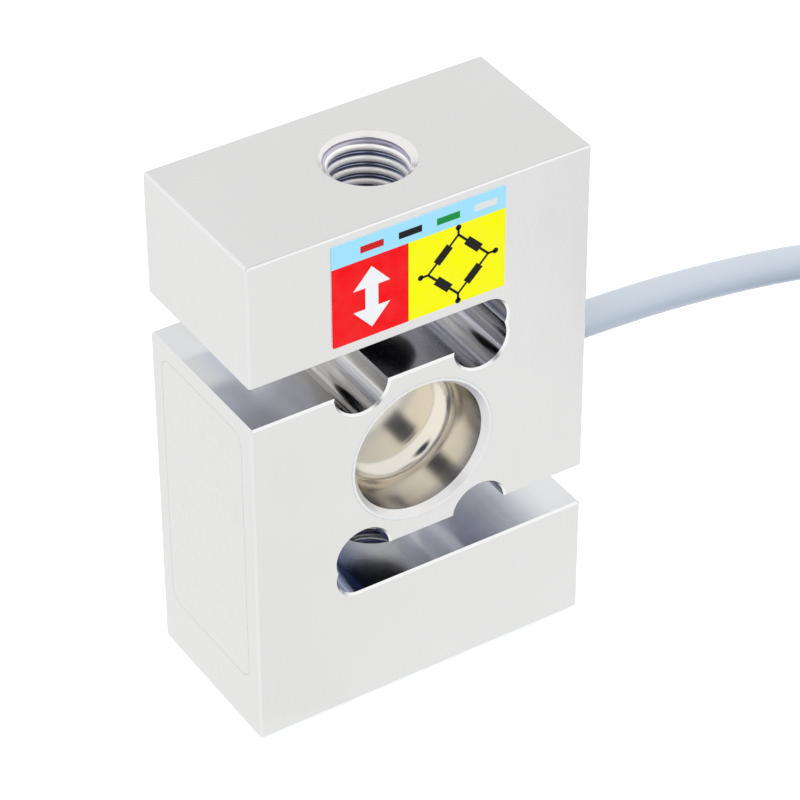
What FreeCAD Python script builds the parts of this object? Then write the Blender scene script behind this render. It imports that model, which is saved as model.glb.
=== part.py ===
"""S-type load cell: a slotted nickel-plated steel spring element with an M12 thread at each end,
deep-drawn cups that seal the gauge bore, a compensation board behind a side cover, and a coiled
signal cable with flying leads.

Frame: millimetres, origin at the centre of the base face, +Z along the load axis,
+Y away from the labelled face, +X towards the cable.
"""

import FreeCAD, Part
import math
import os
import Sketcher
from FreeCAD import Placement, Rotation, Vector

DIMENSIONS = {
    # spring element
    "block_width": 50.8,
    "block_depth": 25.4,
    "block_height": 76.2,
    "end_block_height": 18.5,
    "slot_height": 6.2,
    "slot_reach": 13.0,
    "lobe_radius": 4.0,
    "lobe_offset": 9.0,
    "lobe_lift": 0.27,
    "edge_break": 0.3,
    # M12 x 1.75 threads at both ends, cut out to the major radius
    "thread_radius": 6.0,
    "thread_mouth": 0.38,
    # gauge bore and its sealing cups
    "bore_radius": 10.25,
    "bore_mouth_radius": 10.78,
    "bore_mouth_depth": 0.9,
    "web_thickness": 3.4,
    "cup_inner_radius": 9.67,
    "cup_wall": 0.5,
    "cup_depth": 9.0,
    "cup_floor_fillet": 3.0,
    "cup_lip_inner_radius": 10.35,
    "cup_lip_outer_radius": 10.75,
    # cavity for the compensation board, in the left face
    "cover_width": 20.2,
    "cover_height": 40.7,
    "cover_centre_height": 28.85,
    "cover_thickness": 1.0,
    "cover_corner": 2.0,
    "cover_gap": 0.05,
    "gasket_thickness": 0.3,
    "gasket_land": 1.6,
    "cavity_depth": 7.0,
    "passage_radius": 3.5,
    "passage_end": 9.4,
    # gauges and terminals on the web
    "gauge_side": 7.2,
    "foil_thickness": 0.1,
    "grid_thickness": 0.05,
    "grid_strip": 0.3,
    "grid_pitch": 0.7,
    "grid_length": 2.8,
    "terminal_width": 1.8,
    "terminal_height": 3.2,
    "terminal_thickness": 0.2,
    "terminal_offset": 5.1,
    "solder_pad": 0.7,
    # compensation board
    "board_width": 14.0,
    "board_height": 22.0,
    "board_thickness": 1.0,
    "board_base": 10.5,
    "board_corner": 1.0,
    "bond_thickness": 0.8,
    "chip_length": 3.2,
    "chip_width": 1.6,
    "chip_thickness": 0.55,
    "chip_cap": 0.5,
    # cable entry
    "gland_bore_radius": 5.0,
    "gland_bore_depth": 10.0,
    "seal_length": 5.0,
    "washer_thickness": 0.8,
    "screw_head_height": 3.5,
    "screw_head_flats": 12.0,
    "screw_clearance": 0.25,
    "screw_chamfer": 0.5,
    # cable, coil and ties
    "cable_diameter": 5.0,
    "jacket_end": 14.4,
    "coil_lead_in": 14.0,
    "coil_mean_radius": 30.0,
    "coil_rows": 6,
    "coil_columns": 3,
    "coil_centre_across": 100.0,
    "coil_lift": 0.8,
    "coil_chamfer": 1.4,
    "tie_width": 4.0,
    "tie_head_height": 3.0,
    # stripped end
    "tail_angle": 105.0,
    "tail_run": 22.0,
    "tail_inset": 9.0,
    "sleeve_length": 11.0,
    "sleeve_wall": 0.5,
    "core_diameter": 1.0,
    "core_pitch": 1.5,
    "core_gap_to_web": 0.27,
    "core_fan_start": 12.8,
    "core_fan_end": 10.9,
    "flying_lead_length": 22.0,
    "bare_tip_length": 5.0,
    "bare_tip_diameter": 0.6,
    "lead_pitch": 0.65,
    "lead_fan_pitch": 2.2,
    "hair_wire_diameter": 0.2,
    # rating label
    "label_width": 25.65,
    "label_height": 15.35,
    "label_base": 59.55,
    "label_centre_across": -0.55,
    "label_thickness": 0.12,
    "label_corner": 0.3,
}

# The two cores on each side of the web: height off the bore's axis, where the core turns down,
# the corner it rounds below the gauge (across, down), and its shift along the board.
CORE_LANES = {
    "outer": {"level": -0.65, "shoulder": 9.3, "corner": (6.4, 7.0), "shift": 0.0},
    "inner": {"level": 0.65, "shoulder": 8.0, "corner": (5.4, 5.6), "shift": 1.9},
}

doc = FreeCAD.newDocument("s_type_load_cell")
sheet = doc.addObject("Spreadsheet::Sheet", "dims")
for row, (alias, value) in enumerate(DIMENSIONS.items(), start=1):
    sheet.set(f"A{row}", alias)
    sheet.set(f"B{row}", str(value))
    sheet.setAlias(f"B{row}", alias)
doc.recompute()


class Size:
    """A length with the spreadsheet formula that it comes from, so drawing and formula agree."""

    def __init__(self, value, formula):
        self.value = value
        self.formula = formula

    def __add__(self, other):
        other = as_size(other)
        return Size(self.value + other.value, f"({self.formula} + {other.formula})")

    def __sub__(self, other):
        other = as_size(other)
        return Size(self.value - other.value, f"({self.formula} - {other.formula})")

    def __mul__(self, factor):
        return Size(self.value * factor, f"({self.formula} * {factor})")

    def __truediv__(self, divisor):
        return Size(self.value / divisor, f"({self.formula} / {divisor})")

    def __neg__(self):
        return Size(-self.value, f"(-1 * {self.formula})")


class Cells:
    """Gives each spreadsheet alias as a Size: cells.block_width and so on."""

    def __getattr__(self, alias):
        return Size(float(sheet.get(alias)), f"dims.{alias}")


def as_size(number):
    return number if isinstance(number, Size) else Size(float(number), f"{float(number)}")


def bind(thing, prop, size):
    thing.setExpression(prop, as_size(size).formula)


cells = Cells()
mid_height = cells.block_height / 2


# ---------------------------------------------------------------- document helpers


def new_body(name):
    body = doc.addObject("PartDesign::Body", name)
    body.Label = name
    return body


def origin_plane(body, role):
    for feature in body.Origin.OriginFeatures:
        if feature.Role == role:
            return feature
    raise ValueError(f"{body.Label} has no {role}")


def new_sketch(body, name, role, along_x=0, along_y=0, off_plane=0):
    """A sketch on one of the body's own planes, shifted within it and along its normal."""
    sketch = body.newObject("Sketcher::SketchObject", name)
    sketch.AttachmentSupport = [(origin_plane(body, role), "")]
    sketch.MapMode = "FlatFace"
    shifts = {"x": along_x, "y": along_y, "z": off_plane}
    for axis, shift in shifts.items():
        shift = as_size(shift)
        if shift.value:
            bind(sketch, f".AttachmentOffset.Base.{axis}", shift)
    return sketch


def hold(sketch, constraint, size):
    """Adds a dimension and binds it to its spreadsheet formula."""
    index = sketch.addConstraint(constraint)
    bind(sketch, f"Constraints[{index}]", size)


def hold_point(sketch, element, point, across, up):
    """Fixes one point of an element at (across, up) from the sketch's origin."""
    for size, kind, axis in ((across, "DistanceX", -2), (up, "DistanceY", -1)):
        size = as_size(size)
        if size.value == 0:
            sketch.addConstraint(Sketcher.Constraint("PointOnObject", element, point, axis))
        else:
            distance = Sketcher.Constraint(kind, -1, 1, element, point, size.value)
            hold(sketch, distance, size)


def draw_outline(sketch, corners):
    """A closed outline. A corner is (across, up), or (across, up, radius, bulge) where the stretch
    that ends there is an arc of that radius: bulge 1 turns it anticlockwise, and -1 clockwise."""
    plain = [(as_size(corner[0]), as_size(corner[1])) for corner in corners]
    elements = []
    for index, corner in enumerate(corners):
        before = plain[index - 1]
        start = Vector(before[0].value, before[1].value, 0)
        end = Vector(plain[index][0].value, plain[index][1].value, 0)
        if len(corner) == 2:
            elements.append((sketch.addGeometry(Part.LineSegment(start, end), False), 1, 2))
            continue
        radius, bulge = as_size(corner[2]), corner[3]
        chord = end - start
        rise = math.sqrt(max(radius.value**2 - chord.Length**2 / 4, 0))
        side = Vector(-chord.y, chord.x, 0).normalize() * bulge
        centre = (start + end) / 2 + side * rise
        first, last = (start, end) if bulge > 0 else (end, start)
        first_angle = math.atan2(first.y - centre.y, first.x - centre.x)
        last_angle = math.atan2(last.y - centre.y, last.x - centre.x)
        if last_angle < first_angle:
            last_angle += 2 * math.pi
        circle = Part.Circle(centre, Vector(0, 0, 1), radius.value)
        arc = sketch.addGeometry(Part.ArcOfCircle(circle, first_angle, last_angle), False)
        hold(sketch, Sketcher.Constraint("Radius", arc, radius.value), radius)
        elements.append((arc, 1, 2) if bulge > 0 else (arc, 2, 1))
    for index, (element, _, last) in enumerate(elements):
        following, first, _ = elements[(index + 1) % len(elements)]
        sketch.addConstraint(Sketcher.Constraint("Coincident", element, last, following, first))
        hold_point(sketch, element, last, *plain[index])


def draw_circle(sketch, across, up, radius):
    across, up, radius = as_size(across), as_size(up), as_size(radius)
    centre = Vector(across.value, up.value, 0)
    circle = sketch.addGeometry(Part.Circle(centre, Vector(0, 0, 1), radius.value), False)
    hold_point(sketch, circle, 3, across, up)
    hold(sketch, Sketcher.Constraint("Radius", circle, radius.value), radius)


def rounded_rectangle(width, height, radius):
    """Corners for draw_outline of a rectangle about the sketch's origin with rounded corners."""
    half_width, half_height = as_size(width) / 2, as_size(height) / 2
    radius = as_size(radius)
    return [
        (half_width - radius, -half_height),
        (half_width, radius - half_height, radius, 1),
        (half_width, half_height - radius),
        (half_width - radius, half_height, radius, 1),
        (radius - half_width, half_height),
        (-half_width, half_height - radius, radius, 1),
        (-half_width, radius - half_height),
        (radius - half_width, -half_height, radius, 1),
    ]


def add_pad(body, sketch, length, symmetric=False):
    pad = body.newObject("PartDesign::Pad", f"{sketch.Name}_pad")
    pad.Profile = sketch
    if symmetric:
        pad.SideType = "Symmetric"
    bind(pad, "Length", length)
    doc.recompute()
    return pad


def add_cut(body, sketch, length=None, reverse=False):
    """A pocket of that length, or a cut right through both ways. It must take material away."""
    before = body.Shape.Volume
    pocket = body.newObject("PartDesign::Pocket", f"{sketch.Name}_cut")
    pocket.Profile = sketch
    pocket.Reversed = reverse
    if length is None:
        pocket.SideType = "Symmetric"
        pocket.Type = "ThroughAll"
    else:
        bind(pocket, "Length", length)
    doc.recompute()
    if pocket.Shape.Volume > before - 1e-6:
        raise ValueError(f"{pocket.Name} cuts nothing")
    return pocket


def add_turning(body, sketch, kind, axis="V_Axis"):
    turning = body.newObject(f"PartDesign::{kind}", f"{sketch.Name}_{kind.lower()}")
    turning.Profile = sketch
    turning.ReferenceAxis = (sketch, [axis])
    turning.Angle = 360
    doc.recompute()
    return turning


def add_chamfer(body, choose_edges, size):
    """Chamfers the edges that choose_edges names on the body's last feature."""
    last = body.Tip
    chamfer = body.newObject("PartDesign::Chamfer", f"{body.Name}_edge_break")
    chamfer.Base = (last, choose_edges(last.Shape))
    bind(chamfer, "Size", size)
    doc.recompute()
    return chamfer


def new_box(name, low, size):
    """A Part::Box bound to the sheet, from its low corner and its three sizes."""
    box = doc.addObject("Part::Box", name)
    for prop, length in zip(("Length", "Width", "Height"), size, strict=True):
        bind(box, prop, length)
    for axis, place in zip("xyz", low, strict=True):
        bind(box, f"Placement.Base.{axis}", place)
    return box


def fuse(name, members):
    """One solid from several primitives."""
    fusion = doc.addObject("Part::MultiFuse", name)
    fusion.Shapes = members
    fusion.Label = name
    doc.recompute()
    return fusion


def keep_shape(name, shape):
    feature = doc.addObject("Part::Feature", name)
    feature.Label = name
    feature.Shape = shape
    feature.Placement = Placement()
    return feature


# ---------------------------------------------------------------- routes and tubes


def rounded_route(points, bend=None):
    """Straight runs joined by tangent arcs. Without a bend radius, each arc is as large as
    0.45 of the shorter run beside it allows. Returns the wire and the radii."""
    edges, radii = [], []
    start = points[0]
    for before, corner, after in zip(points, points[1:], points[2:], strict=False):
        inward, outward = corner - before, after - corner
        turn = inward.getAngle(outward)
        reach = 0.45 * min(inward.Length, outward.Length)
        radius = reach / math.tan(turn / 2)
        if bend is not None and bend < radius:
            radius = bend
        trim = radius * math.tan(turn / 2)
        radii.append(radius)
        inward.normalize()
        outward.normalize()
        arc_start, arc_end = corner - inward * trim, corner + outward * trim
        middle = (outward - inward).normalize()
        arc_middle = corner + middle * (radius / math.cos(turn / 2) - radius)
        edges.append(Part.LineSegment(start, arc_start).toShape())
        edges.append(Part.Arc(arc_start, arc_middle, arc_end).toShape())
        start = arc_end
    edges.append(Part.LineSegment(start, points[-1]).toShape())
    return Part.Wire(edges), radii


def tube(points, diameter, bend=None):
    """A round solid along a rounded route, checked against its section times its length."""
    wire, radii = rounded_route(points, bend)
    direction = points[1] - points[0]
    section = Part.Wire(Part.makeCircle(diameter / 2, points[0], direction))
    solid = wire.makePipeShell([section], True, False)
    expected = math.pi * diameter**2 / 4 * wire.Length
    if abs(solid.Volume - expected) > 0.01 * expected:
        raise ValueError("a tube's volume is not its section times its length")
    return solid, wire.Length, radii


# ---------------------------------------------------------------- spring element


def slot_outline():
    """The upper slot, open at the left face, seen from the front about the block's centre."""
    top = mid_height - cells.end_block_height
    bottom = top - cells.slot_height
    end_radius = cells.slot_height / 2
    mouth = -(cells.block_width / 2 + 1)
    straight_end = cells.slot_reach - end_radius
    return [
        (mouth, bottom),
        (straight_end, bottom),
        (straight_end, top, end_radius, 1),
        (mouth, top),
    ]


def outline_edges(shape):
    """Edges of the front and rear outline and the straight edges between them, without the bores."""
    half_depth = DIMENSIONS["block_depth"] / 2
    half_width = DIMENSIONS["block_width"] / 2
    height = DIMENSIONS["block_height"]
    mouth_radius = DIMENSIONS["bore_mouth_radius"]
    chosen = []
    for number, edge in enumerate(shape.Edges, start=1):
        box = edge.BoundBox
        on_face = box.YLength < 1e-6 and abs(abs(box.YMin) - half_depth) < 1e-6
        is_bore = abs(box.XLength - 2 * mouth_radius) < 1e-3
        across = box.YLength > 2 * half_depth - 1e-6 and box.XLength < 1e-6
        on_side = abs(abs(box.XMin) - half_width) < 1e-6 and box.ZLength < 1e-6
        on_end = box.ZMin < 1e-6 or box.ZMax > height - 1e-6
        if (on_face and not is_bore) or (across and on_side) or (across and on_end):
            chosen.append(f"Edge{number}")
    return chosen


def make_spring_element():
    body = new_body("spring_element")
    outline = new_sketch(body, "block_outline", "XZ_Plane", along_y=mid_height)
    half_width = cells.block_width / 2
    corners = [
        (-half_width, -mid_height),
        (half_width, -mid_height),
        (half_width, mid_height),
        (-half_width, mid_height),
    ]
    draw_outline(outline, corners)
    add_pad(body, outline, cells.block_depth, symmetric=True)

    slot = new_sketch(body, "slot", "XZ_Plane", along_y=mid_height)
    draw_outline(slot, slot_outline())
    slot_cut = add_cut(body, slot)

    lobes = new_sketch(body, "lobes", "XZ_Plane", along_y=mid_height)
    lobe_height = mid_height - cells.end_block_height - cells.slot_height + cells.lobe_lift
    for side in (-1, 1):
        draw_circle(lobes, cells.lobe_offset * side, lobe_height, cells.lobe_radius)
    lobe_cut = add_cut(body, lobes)

    thread = new_sketch(body, "thread_hole", "XZ_Plane")
    top = cells.block_height
    mouth_radius = cells.thread_radius + cells.thread_mouth
    floor = top - cells.end_block_height - cells.slot_height / 2
    profile = [
        (0, floor),
        (cells.thread_radius, floor),
        (cells.thread_radius, top - cells.thread_mouth),
        (mouth_radius, top),
        (mouth_radius, top + 1),
        (0, top + 1),
    ]
    draw_outline(thread, profile)
    thread_cut = add_turning(body, thread, "Groove")

    half_turn = body.newObject("PartDesign::PolarPattern", "lower_half")
    half_turn.Originals = [slot_cut, lobe_cut, thread_cut]
    half_turn.Axis = (slot, ["N_Axis"])
    half_turn.Angle = 360
    half_turn.Occurrences = 2
    body.Tip = half_turn
    doc.recompute()

    bore = new_sketch(body, "gauge_bore", "XY_Plane", off_plane=mid_height)
    face = -(cells.block_depth / 2)
    profile = [
        (0, face - 1),
        (cells.bore_mouth_radius, face - 1),
        (cells.bore_mouth_radius, face),
        (cells.bore_radius, face + cells.bore_mouth_depth),
        (cells.bore_radius, -(cells.web_thickness / 2)),
        (0, -(cells.web_thickness / 2)),
    ]
    draw_outline(bore, profile)
    bore_cut = add_turning(body, bore, "Groove")
    rear = body.newObject("PartDesign::Mirrored", "rear_gauge_bore")
    rear.Originals = [bore_cut]
    rear.MirrorPlane = (origin_plane(body, "XZ_Plane"), [""])
    body.Tip = rear
    doc.recompute()

    left_face = -half_width
    cover_height = cells.cover_centre_height
    seat = new_sketch(body, "cover_seat", "YZ_Plane", 0, cover_height, left_face)
    draw_outline(seat, rounded_rectangle(cells.cover_width, cells.cover_height, cells.cover_corner))
    add_cut(body, seat, cells.cover_thickness + cells.gasket_thickness, reverse=True)

    cavity = new_sketch(body, "board_cavity", "YZ_Plane", 0, cover_height, left_face)
    land = cells.gasket_land * 2
    opening = rounded_rectangle(
        cells.cover_width - land, cells.cover_height - land, cells.cover_corner
    )
    draw_outline(cavity, opening)
    add_cut(body, cavity, cells.cavity_depth, reverse=True)

    passage = new_sketch(body, "board_passage", "YZ_Plane", 0, mid_height, -cells.passage_end)
    draw_circle(passage, 0, 0, cells.passage_radius)
    add_cut(body, passage, half_width - cells.passage_end - cells.cavity_depth)

    entry = new_sketch(body, "gland_bore", "YZ_Plane", 0, mid_height, half_width)
    draw_circle(entry, 0, 0, cells.gland_bore_radius)
    add_cut(body, entry, cells.gland_bore_depth)
    passage = new_sketch(body, "cable_passage", "YZ_Plane", 0, mid_height, half_width)
    draw_circle(passage, 0, 0, cells.passage_radius)
    add_cut(body, passage, half_width - cells.passage_end)

    add_chamfer(body, outline_edges, cells.edge_break)
    return body


# ---------------------------------------------------------------- sealing cups


def make_sealing_cup(name, side):
    """A thin drawn cup with a rounded floor and a flared lip. side is -1 at the front face."""
    body = new_body(name)
    sketch = new_sketch(body, f"{name}_section", "XY_Plane", off_plane=mid_height)
    face = cells.block_depth / 2
    inner, wall = cells.cup_inner_radius, cells.cup_wall
    outer = inner + wall
    floor = face - cells.cup_depth
    under = floor - wall
    inner_fillet = cells.cup_floor_fillet
    outer_fillet = inner_fillet + wall
    lip = face - cells.bore_mouth_depth
    turn = side
    section = [
        (cells.cup_lip_outer_radius, face * side),
        (outer, lip * side),
        (outer, (under + outer_fillet) * side),
        (outer - outer_fillet, under * side, outer_fillet, -turn),
        (0, under * side),
        (0, floor * side),
        (inner - inner_fillet, floor * side),
        (inner, (floor + inner_fillet) * side, inner_fillet, turn),
        (inner, lip * side),
        (cells.cup_lip_inner_radius, face * side),
    ]
    draw_outline(sketch, section)
    add_turning(body, sketch, "Revolution")
    return body


# ---------------------------------------------------------------- gauges and terminals


def make_strain_gauge(name, side):
    """A shear gauge: a square foil backing with two fields of grid strips at +45 and -45 degrees."""
    web = cells.web_thickness / 2
    reach = cells.gauge_side / 2
    low_y = web if side > 0 else -(web + cells.foil_thickness)
    backing = new_box(
        f"{name}_backing",
        (-reach, low_y, mid_height - reach),
        (cells.gauge_side, cells.foil_thickness, cells.gauge_side),
    )
    members = [backing]
    grid_y = (web + cells.foil_thickness) if side > 0 else -(web + cells.foil_thickness)
    grid_y = grid_y if side > 0 else grid_y - cells.grid_thickness
    field_centre = DIMENSIONS["gauge_side"] / 4
    pitch = DIMENSIONS["grid_pitch"]
    for field in (-1, 1):
        tilt = Rotation(Vector(0, 1, 0), 45 * field)
        for step in (-1.5, -0.5, 0.5, 1.5):
            strip = doc.addObject("Part::Box", f"{name}_strip")
            bind(strip, "Length", cells.grid_length)
            bind(strip, "Width", cells.grid_thickness)
            bind(strip, "Height", cells.grid_strip)
            corner = Vector(-DIMENSIONS["grid_length"] / 2, 0, step * pitch)
            centre = Vector(field * field_centre, grid_y.value, mid_height.value)
            strip.Placement = Placement(centre + tilt.multVec(corner), tilt)
            members.append(strip)
    return fuse(name, members)


def make_solder_terminals(name, side):
    """A bondable terminal strip beside the gauge, with three solder pads."""
    web = cells.web_thickness / 2
    thick = cells.terminal_thickness
    middle = -cells.terminal_offset
    low_y = web if side > 0 else -(web + thick)
    strip = new_box(
        f"{name}_strip",
        (middle - cells.terminal_width / 2, low_y, mid_height - cells.terminal_height / 2),
        (cells.terminal_width, thick, cells.terminal_height),
    )
    members = [strip]
    pad_y = (web + thick) if side > 0 else -(web + thick + cells.grid_thickness)
    for step in (-1, 0, 1):
        pad_middle = mid_height + cells.solder_pad * (1.5 * step)
        pad = new_box(
            f"{name}_pad",
            (middle, pad_y, pad_middle - cells.solder_pad / 2),
            (cells.solder_pad, cells.grid_thickness, cells.solder_pad),
        )
        members.append(pad)
    return fuse(name, members)


def make_gauge_leads(name, side):
    """Three fine enamelled wires from the terminals through the passage to the board."""
    wire = DIMENSIONS["hair_wire_diameter"]
    lane = side * (DIMENSIONS["web_thickness"] / 2 + wire / 2 + 0.02)
    start = -(DIMENSIONS["terminal_offset"] + DIMENSIONS["terminal_width"] / 2)
    cavity_floor = DIMENSIONS["cavity_depth"] - DIMENSIONS["block_width"] / 2
    board_face = cavity_floor - DIMENSIONS["bond_thickness"] - DIMENSIONS["board_thickness"]
    board_top = DIMENSIONS["board_base"] + DIMENSIONS["board_height"]
    solids = []
    for number in (-1, 0, 1):
        level = mid_height.value + 0.8 * number
        landing = side * (1.1 - 0.5 * number)
        points = [
            Vector(start, lane, level),
            Vector(cavity_floor - 0.2, lane, level),
            Vector(board_face - wire / 2, landing, level),
            Vector(board_face - wire / 2, landing, board_top - 1),
        ]
        solids.append(tube(points, wire, bend=0.8)[0])
    return keep_shape(name, Part.makeCompound(solids))


# ---------------------------------------------------------------- compensation board and cover


def make_board():
    body = new_body("compensation_board")
    bottom = cells.board_base
    middle = bottom + cells.board_height / 2
    front = -(cells.block_width / 2) + cells.cavity_depth - cells.bond_thickness
    sketch = new_sketch(body, "board_outline", "YZ_Plane", 0, middle, front - cells.board_thickness)
    draw_outline(
        sketch, rounded_rectangle(cells.board_width, cells.board_height, cells.board_corner)
    )
    add_pad(body, sketch, cells.board_thickness)
    return body


def make_bonding_pad():
    """The soft pad that bonds the board to the cavity's floor, a little smaller than the board."""
    margin = cells.board_corner
    floor = -(cells.block_width / 2) + cells.cavity_depth
    pad = new_box(
        "board_bonding_pad",
        (floor - cells.bond_thickness, margin - cells.board_width / 2, cells.board_base + margin),
        (
            cells.bond_thickness,
            cells.board_width - margin * 2,
            cells.board_height - margin * 2,
        ),
    )
    pad.Label = "board_bonding_pad"
    return pad


def make_chip_resistor(name, across, up):
    """A chip resistor on the board: a ceramic body with a wrapped metal cap at each end."""
    face = cells.cavity_depth - cells.block_width / 2 - cells.bond_thickness - cells.board_thickness
    skin = cells.grid_thickness
    cap = cells.chip_cap
    low_y = as_size(across) - cells.chip_length / 2
    low_z = as_size(up) - cells.chip_width / 2
    ceramic = new_box(
        f"{name}_ceramic",
        (face - cells.chip_thickness, low_y, low_z),
        (cells.chip_thickness, cells.chip_length, cells.chip_width),
    )
    caps = []
    for low in (low_y - skin, low_y + cells.chip_length - cap):
        piece = new_box(
            f"{name}_cap",
            (face - cells.chip_thickness - skin, low, low_z - skin),
            (cells.chip_thickness + skin, cap + skin, cells.chip_width + skin * 2),
        )
        caps.append(piece)
    return fuse(name, [ceramic, *caps])


def make_side_cover():
    body = new_body("side_cover_plate")
    left_face = -(cells.block_width / 2)
    sketch = new_sketch(
        body, "cover_outline", "YZ_Plane", 0, cells.cover_centre_height, left_face
    )
    play = cells.cover_gap * 2
    width, height = cells.cover_width - play, cells.cover_height - play
    draw_outline(sketch, rounded_rectangle(width, height, cells.cover_corner - cells.cover_gap))
    add_pad(body, sketch, cells.cover_thickness)
    return body


def make_side_gasket():
    """A flat frame between the cover and the land around the cavity."""
    body = new_body("side_cover_gasket")
    inner_face = cells.cover_thickness - cells.block_width / 2
    place = (0, cells.cover_centre_height, inner_face)
    sketch = new_sketch(body, "gasket_outline", "YZ_Plane", *place)
    play = cells.cover_gap * 2
    width, height = cells.cover_width - play, cells.cover_height - play
    draw_outline(sketch, rounded_rectangle(width, height, cells.cover_corner - cells.cover_gap))
    add_pad(body, sketch, cells.gasket_thickness)
    window = new_sketch(body, "gasket_window", "YZ_Plane", *place)
    land = cells.gasket_land * 2
    width, height = cells.cover_width - land, cells.cover_height - land
    draw_outline(window, rounded_rectangle(width, height, cells.cover_corner))
    add_cut(body, window)
    return body


# ---------------------------------------------------------------- cable entry


def turned_ring(body, sketch_name, start, end, inner, outer):
    """A plain ring about the cable's axis, from start to end along X."""
    sketch = new_sketch(body, sketch_name, "XZ_Plane", along_y=mid_height)
    draw_outline(sketch, [(start, inner), (end, inner), (end, outer), (start, outer)])
    add_turning(body, sketch, "Revolution", axis="H_Axis")


def make_gland_seal():
    body = new_body("gland_seal")
    start = cells.block_width / 2 - cells.gland_bore_depth
    end = start + cells.seal_length
    turned_ring(body, "seal_section", start, end, cells.cable_diameter / 2, cells.gland_bore_radius)
    return body


def make_gland_washer():
    body = new_body("gland_washer")
    start = cells.block_width / 2 - cells.gland_bore_depth + cells.seal_length
    end = start + cells.washer_thickness
    inner = cells.cable_diameter / 2 + cells.screw_clearance
    outer = cells.gland_bore_radius - cells.screw_clearance
    turned_ring(body, "washer_section", start, end, inner, outer)
    return body


def make_gland_screw():
    """A hollow hex-headed screw that squeezes the seal round the cable."""
    body = new_body("gland_screw")
    face = cells.block_width / 2
    start = face - cells.gland_bore_depth + cells.seal_length + cells.washer_thickness
    inner = cells.cable_diameter / 2 + cells.screw_clearance
    turned_ring(body, "shank_section", start, face, inner, cells.gland_bore_radius)

    head = new_sketch(body, "head_outline", "YZ_Plane", 0, mid_height, face)
    flats, corner = cells.screw_head_flats / 2, cells.screw_head_flats / math.sqrt(3)
    hexagon = [
        (flats, -corner / 2),
        (flats, corner / 2),
        (0, corner),
        (-flats, corner / 2),
        (-flats, -corner / 2),
        (0, -corner),
    ]
    draw_outline(head, hexagon)
    add_pad(body, head, cells.screw_head_height)
    bore = new_sketch(body, "head_bore", "YZ_Plane", 0, mid_height, face)
    draw_circle(bore, 0, 0, inner)
    add_cut(body, bore)

    crown = new_sketch(body, "head_crown", "XZ_Plane", along_y=mid_height)
    top = face + cells.screw_head_height
    outer = corner + cells.screw_chamfer
    crown_outline = [
        (top, flats),
        (top + 1, flats),
        (top + 1, outer),
        (top - cells.screw_chamfer, outer),
    ]
    draw_outline(crown, crown_outline)
    add_turning(body, crown, "Groove", axis="H_Axis")
    return body


# ---------------------------------------------------------------- cores inside the block


def make_board_lead(name, side, lane_name):
    """One core from the end of the jacket, round the gauge under the cup, to the board."""
    wire = DIMENSIONS["core_diameter"]
    half_pitch = DIMENSIONS["core_pitch"] / 2
    middle = mid_height.value
    lane = side * (DIMENSIONS["web_thickness"] / 2 + wire / 2 + DIMENSIONS["core_gap_to_web"])
    shape = CORE_LANES[lane_name]
    level = middle + shape["level"]
    shoulder = shape["shoulder"]
    across, down = shape["corner"]
    cavity_floor = DIMENSIONS["cavity_depth"] - DIMENSIONS["block_width"] / 2
    board_face = cavity_floor - DIMENSIONS["bond_thickness"] - DIMENSIONS["board_thickness"]
    landing_x = board_face - wire / 2
    landing_y = lane + side * shape["shift"]
    landing_z = DIMENSIONS["board_base"] + DIMENSIONS["board_height"] - 1
    points = [
        Vector(DIMENSIONS["jacket_end"], side * half_pitch, level),
        Vector(DIMENSIONS["core_fan_start"], side * half_pitch, level),
        Vector(DIMENSIONS["core_fan_end"], lane, level),
        Vector(shoulder, lane, level),
        Vector(across, lane, middle - down),
        Vector(-across, lane, middle - down),
        Vector(-shoulder, lane, level),
    ]
    if shape["shift"]:
        points.append(Vector(cavity_floor - 0.4, lane, level))
    points.append(Vector(landing_x, landing_y, level))
    points.append(Vector(landing_x, landing_y, landing_z))
    return keep_shape(name, tube(points, wire, bend=1.3)[0])


# ---------------------------------------------------------------- cable, coil and stripped end


def coil_centre():
    outer_turn = coil_turn_radius(DIMENSIONS["coil_columns"] - 1)
    return Vector(DIMENSIONS["coil_centre_across"], -outer_turn, 0)


def coil_turn_radius(column):
    """The centreline radius of a column of turns, counted from the inside."""
    step = column - (DIMENSIONS["coil_columns"] - 1) / 2
    return DIMENSIONS["coil_mean_radius"] + step * DIMENSIONS["cable_diameter"]


def coil_row_height(row):
    return DIMENSIONS["coil_lift"] + (row + 0.5) * DIMENSIONS["cable_diameter"]


def cable_route():
    """The stretch between the gland and the coil: it leaves level and sags onto the coil's top."""
    level = mid_height.value
    return [
        Vector(DIMENSIONS["jacket_end"], 0, level),
        Vector(36.5, 0, level),
        Vector(60.0, 0, 35.6),
        Vector(79.0, 0, 31.5),
    ]


def tail_route():
    """Where the far end leaves the coil's bottom turn: the point, and its direction."""
    angle = math.radians(DIMENSIONS["tail_angle"])
    outer_turn = coil_turn_radius(DIMENSIONS["coil_columns"] - 1)
    leaving = Vector(outer_turn * math.cos(angle), outer_turn * math.sin(angle), coil_row_height(0))
    direction = Vector(math.sin(angle), -math.cos(angle), 0)
    return coil_centre() + leaving, direction


def make_signal_cable():
    solid, length, radii = tube(cable_route(), DIMENSIONS["cable_diameter"])
    print("signal_cable: length", round(length, 1), "radii", [round(radius, 1) for radius in radii])
    return keep_shape("signal_cable", solid)


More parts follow.
